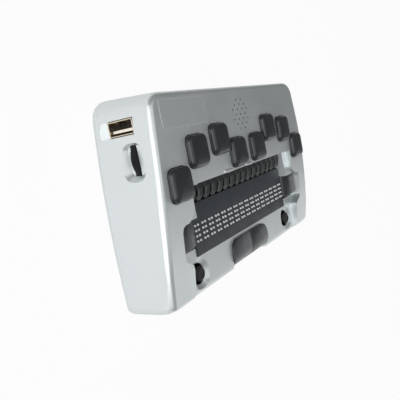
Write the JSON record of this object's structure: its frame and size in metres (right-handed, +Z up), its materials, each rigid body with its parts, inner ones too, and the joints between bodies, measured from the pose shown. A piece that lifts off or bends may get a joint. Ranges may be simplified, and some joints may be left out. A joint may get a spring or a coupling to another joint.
{
  "type": "refreshable braille display",
  "caption": "Hand-held refreshable braille display: a line of braille cells with routing keys, arched braille keyboard, space keys, two joysticks, sockets and a volume wheel.",
  "frame": {"origin": "on the table under the middle of the case, at the bottom of the feet", "axes": "+X along the line of cells to the user's right, +Y to the back, +Z up"},
  "size_m": [0.1604, 0.094, 0.0373],
  "materials": {
    "silver_paint": "fine silver paint on ABS, satin",
    "charcoal_abs": "charcoal ABS, satin",
    "slate_abs": "slate grey ABS, fine spark texture",
    "white_acetal": "white acetal, polished",
    "board_laminate": "green solder mask on laminate",
    "black_moulding": "black moulded plastic",
    "battery_wrap": "blue shrink wrap",
    "socket_metal": "nickel-plated pressed steel",
    "cream_nylon": "cream moulded nylon",
    "black_rubber": "matt black rubber"
  },
  "bodies": {
    "case": {"top_housing": "silver_paint", "bottom_housing": "silver_paint", "display_plate": "slate_abs", "braille_cells": "black_moulding", "main_board": "board_laminate", "key_board": "board_laminate", "battery_pack": "battery_wrap", "speaker": "black_moulding", "usb_host_shell": "socket_metal", "usb_host_tongue": "cream_nylon", "volume_control": "black_moulding", "charging_socket": "socket_metal", "headphone_jack": "black_moulding", "power_switch": "black_moulding", "rubber_foot_front_left": "black_rubber", "rubber_foot_back_left": "black_rubber", "rubber_foot_front_right": "black_rubber", "rubber_foot_back_right": "black_rubber"},
    "pin_dot_1": {"pin_dot_1": "white_acetal"},
    "pin_dot_4": {"pin_dot_4": "white_acetal"},
    "pin_dot_2": {"pin_dot_2": "white_acetal"},
    "pin_dot_5": {"pin_dot_5": "white_acetal"},
    "pin_dot_3": {"pin_dot_3": "white_acetal"},
    "pin_dot_6": {"pin_dot_6": "white_acetal"},
    "pin_dot_7": {"pin_dot_7": "white_acetal"},
    "pin_dot_8": {"pin_dot_8": "white_acetal"},
    "key_dot_1": {"key_dot_1": "charcoal_abs"},
    "key_dot_2": {"key_dot_2": "charcoal_abs"},
    "key_dot_3": {"key_dot_3": "charcoal_abs"},
    "key_dot_7": {"key_dot_7": "charcoal_abs"},
    "key_dot_4": {"key_dot_4": "charcoal_abs"},
    "key_dot_5": {"key_dot_5": "charcoal_abs"},
    "key_dot_6": {"key_dot_6": "charcoal_abs"},
    "key_dot_8": {"key_dot_8": "charcoal_abs"},
    "function_button_left": {"function_button_left": "charcoal_abs"},
    "function_button_right": {"function_button_right": "charcoal_abs"},
    "space_key_left": {"space_key_left": "charcoal_abs"},
    "space_key_right": {"space_key_right": "charcoal_abs"},
    "routing_key_01": {"routing_key_01": "charcoal_abs"},
    "routing_key_02": {"routing_key_02": "charcoal_abs"},
    "routing_key_03": {"routing_key_03": "charcoal_abs"},
    "routing_key_04": {"routing_key_04": "charcoal_abs"},
    "routing_key_05": {"routing_key_05": "charcoal_abs"},
    "routing_key_06": {"routing_key_06": "charcoal_abs"},
    "routing_key_07": {"routing_key_07": "charcoal_abs"},
    "routing_key_08": {"routing_key_08": "charcoal_abs"},
    "routing_key_09": {"routing_key_09": "charcoal_abs"},
    "routing_key_10": {"routing_key_10": "charcoal_abs"},
    "routing_key_11": {"routing_key_11": "charcoal_abs"},
    "routing_key_12": {"routing_key_12": "charcoal_abs"},
    "routing_key_13": {"routing_key_13": "charcoal_abs"},
    "routing_key_14": {"routing_key_14": "charcoal_abs"},
    "routing_key_15": {"routing_key_15": "charcoal_abs"},
    "routing_key_16": {"routing_key_16": "charcoal_abs"},
    "joystick_ring_left": {"joystick_ring_left": "black_moulding"},
    "joystick_cap_left": {"joystick_cap_left": "black_rubber"},
    "joystick_ring_right": {"joystick_ring_right": "black_moulding"},
    "joystick_cap_right": {"joystick_cap_right": "black_rubber"},
    "volume_wheel": {"volume_wheel": "charcoal_abs"},
    "power_slider": {"power_slider": "charcoal_abs"}
  },
  "joints": [
    {"name": "pin_dot_1_slide", "type": "slide", "parent": "case", "child": "pin_dot_1", "axis": [0, 0, 1], "range_m": [-0.0007, 0]},
    {"name": "pin_dot_4_slide", "type": "slide", "parent": "case", "child": "pin_dot_4", "axis": [0, 0, 1], "range_m": [-0.0007, 0]},
    {"name": "pin_dot_2_slide", "type": "slide", "parent": "case", "child": "pin_dot_2", "axis": [0, 0, 1], "range_m": [-0.0007, 0]},
    {"name": "pin_dot_5_slide", "type": "slide", "parent": "case", "child": "pin_dot_5", "axis": [0, 0, 1], "range_m": [-0.0007, 0]},
    {"name": "pin_dot_3_slide", "type": "slide", "parent": "case", "child": "pin_dot_3", "axis": [0, 0, 1], "range_m": [-0.0007, 0]},
    {"name": "pin_dot_6_slide", "type": "slide", "parent": "case", "child": "pin_dot_6", "axis": [0, 0, 1], "range_m": [-0.0007, 0]},
    {"name": "pin_dot_7_slide", "type": "slide", "parent": "case", "child": "pin_dot_7", "axis": [0, 0, 1], "range_m": [-0.0007, 0]},
    {"name": "pin_dot_8_slide", "type": "slide", "parent": "case", "child": "pin_dot_8", "axis": [0, 0, 1], "range_m": [-0.0007, 0]},
    {"name": "key_dot_1_slide", "type": "slide", "parent": "case", "child": "key_dot_1", "axis": [0, 0, -1], "range_m": [0, 0.0013], "stiffness_N_per_m": 400, "springref_m": -0.001},
    {"name": "key_dot_2_slide", "type": "slide", "parent": "case", "child": "key_dot_2", "axis": [0, 0, -1], "range_m": [0, 0.0013], "stiffness_N_per_m": 400, "springref_m": -0.001},
    {"name": "key_dot_3_slide", "type": "slide", "parent": "case", "child": "key_dot_3", "axis": [0, 0, -1], "range_m": [0, 0.0013], "stiffness_N_per_m": 400, "springref_m": -0.001},
    {"name": "key_dot_7_slide", "type": "slide", "parent": "case", "child": "key_dot_7", "axis": [0, 0, -1], "range_m": [0, 0.0013], "stiffness_N_per_m": 400, "springref_m": -0.001},
    {"name": "key_dot_4_slide", "type": "slide", "parent": "case", "child": "key_dot_4", "axis": [0, 0, -1], "range_m": [0, 0.0013], "stiffness_N_per_m": 400, "springref_m": -0.001},
    {"name": "key_dot_5_slide", "type": "slide", "parent": "case", "child": "key_dot_5", "axis": [0, 0, -1], "range_m": [0, 0.0013], "stiffness_N_per_m": 400, "springref_m": -0.001},
    {"name": "key_dot_6_slide", "type": "slide", "parent": "case", "child": "key_dot_6", "axis": [0, 0, -1], "range_m": [0, 0.0013], "stiffness_N_per_m": 400, "springref_m": -0.001},
    {"name": "key_dot_8_slide", "type": "slide", "parent": "case", "child": "key_dot_8", "axis": [0, 0, -1], "range_m": [0, 0.0013], "stiffness_N_per_m": 400, "springref_m": -0.001},
    {"name": "function_button_left_slide", "type": "slide", "parent": "case", "child": "function_button_left", "axis": [0, 0, -1], "range_m": [0, 0.001], "stiffness_N_per_m": 500, "springref_m": -0.001},
    {"name": "function_button_right_slide", "type": "slide", "parent": "case", "child": "function_button_right", "axis": [0, 0, -1], "range_m": [0, 0.001], "stiffness_N_per_m": 500, "springref_m": -0.001},
    {"name": "space_key_left_slide", "type": "slide", "parent": "case", "child": "space_key_left", "axis": [0, 0, -1], "range_m": [0, 0.0012], "stiffness_N_per_m": 400, "springref_m": -0.001},
    {"name": "space_key_right_slide", "type": "slide", "parent": "case", "child": "space_key_right", "axis": [0, 0, -1], "range_m": [0, 0.0012], "stiffness_N_per_m": 400, "springref_m": -0.001},
    {"name": "routing_key_01_slide", "type": "slide", "parent": "case", "child": "routing_key_01", "axis": [0, 0, -1], "range_m": [0, 0.0006], "stiffness_N_per_m": 500, "springref_m": -0.001},
    {"name": "routing_key_02_slide", "type": "slide", "parent": "case", "child": "routing_key_02", "axis": [0, 0, -1], "range_m": [0, 0.0006], "stiffness_N_per_m": 500, "springref_m": -0.001},
    {"name": "routing_key_03_slide", "type": "slide", "parent": "case", "child": "routing_key_03", "axis": [0, 0, -1], "range_m": [0, 0.0006], "stiffness_N_per_m": 500, "springref_m": -0.001},
    {"name": "routing_key_04_slide", "type": "slide", "parent": "case", "child": "routing_key_04", "axis": [0, 0, -1], "range_m": [0, 0.0006], "stiffness_N_per_m": 500, "springref_m": -0.001},
    {"name": "routing_key_05_slide", "type": "slide", "parent": "case", "child": "routing_key_05", "axis": [0, 0, -1], "range_m": [0, 0.0006], "stiffness_N_per_m": 500, "springref_m": -0.001},
    {"name": "routing_key_06_slide", "type": "slide", "parent": "case", "child": "routing_key_06", "axis": [0, 0, -1], "range_m": [0, 0.0006], "stiffness_N_per_m": 500, "springref_m": -0.001},
    {"name": "routing_key_07_slide", "type": "slide", "parent": "case", "child": "routing_key_07", "axis": [0, 0, -1], "range_m": [0, 0.0006], "stiffness_N_per_m": 500, "springref_m": -0.001},
    {"name": "routing_key_08_slide", "type": "slide", "parent": "case", "child": "routing_key_08", "axis": [0, 0, -1], "range_m": [0, 0.0006], "stiffness_N_per_m": 500, "springref_m": -0.001},
    {"name": "routing_key_09_slide", "type": "slide", "parent": "case", "child": "routing_key_09", "axis": [0, 0, -1], "range_m": [0, 0.0006], "stiffness_N_per_m": 500, "springref_m": -0.001},
    {"name": "routing_key_10_slide", "type": "slide", "parent": "case", "child": "routing_key_10", "axis": [0, 0, -1], "range_m": [0, 0.0006], "stiffness_N_per_m": 500, "springref_m": -0.001},
    {"name": "routing_key_11_slide", "type": "slide", "parent": "case", "child": "routing_key_11", "axis": [0, 0, -1], "range_m": [0, 0.0006], "stiffness_N_per_m": 500, "springref_m": -0.001},
    {"name": "routing_key_12_slide", "type": "slide", "parent": "case", "child": "routing_key_12", "axis": [0, 0, -1], "range_m": [0, 0.0006], "stiffness_N_per_m": 500, "springref_m": -0.001},
    {"name": "routing_key_13_slide", "type": "slide", "parent": "case", "child": "routing_key_13", "axis": [0, 0, -1], "range_m": [0, 0.0006], "stiffness_N_per_m": 500, "springref_m": -0.001},
    {"name": "routing_key_14_slide", "type": "slide", "parent": "case", "child": "routing_key_14", "axis": [0, 0, -1], "range_m": [0, 0.0006], "stiffness_N_per_m": 500, "springref_m": -0.001},
    {"name": "routing_key_15_slide", "type": "slide", "parent": "case", "child": "routing_key_15", "axis": [0, 0, -1], "range_m": [0, 0.0006], "stiffness_N_per_m": 500, "springref_m": -0.001},
    {"name": "routing_key_16_slide", "type": "slide", "parent": "case", "child": "routing_key_16", "axis": [0, 0, -1], "range_m": [0, 0.0006], "stiffness_N_per_m": 500, "springref_m": -0.001},
    {"name": "joystick_tilt_front_back_left", "type": "hinge", "parent": "case", "child": "joystick_ring_left", "pos_m": [-0.05166, -0.0375, 0.0163], "axis": [1, 0, 0], "range_deg": [-5, 5], "stiffness_Nm_per_rad": 0.02},
    {"name": "joystick_tilt_side_left", "type": "hinge", "parent": "joystick_ring_left", "child": "joystick_cap_left", "pos_m": [-0.05166, -0.0375, 0.0163], "axis": [0, 1, 0], "range_deg": [-5, 5], "stiffness_Nm_per_rad": 0.02},
    {"name": "joystick_tilt_front_back_right", "type": "hinge", "parent": "case", "child": "joystick_ring_right", "pos_m": [0.05166, -0.0375, 0.0163], "axis": [1, 0, 0], "range_deg": [-5, 5], "stiffness_Nm_per_rad": 0.02},
    {"name": "joystick_tilt_side_right", "type": "hinge", "parent": "joystick_ring_right", "child": "joystick_cap_right", "pos_m": [0.05166, -0.0375, 0.0163], "axis": [0, 1, 0], "range_deg": [-5, 5], "stiffness_Nm_per_rad": 0.02},
    {"name": "volume_wheel_turn", "type": "hinge", "parent": "case", "child": "volume_wheel", "pos_m": [-0.0686, 0.0195, 0.0218], "axis": [0, 0, 1], "range_deg": [-135, 135]},
    {"name": "power_slider_slide", "type": "slide", "parent": "case", "child": "power_slider", "axis": [0, 1, 0], "range_m": [0, 0.003]}
  ]
}
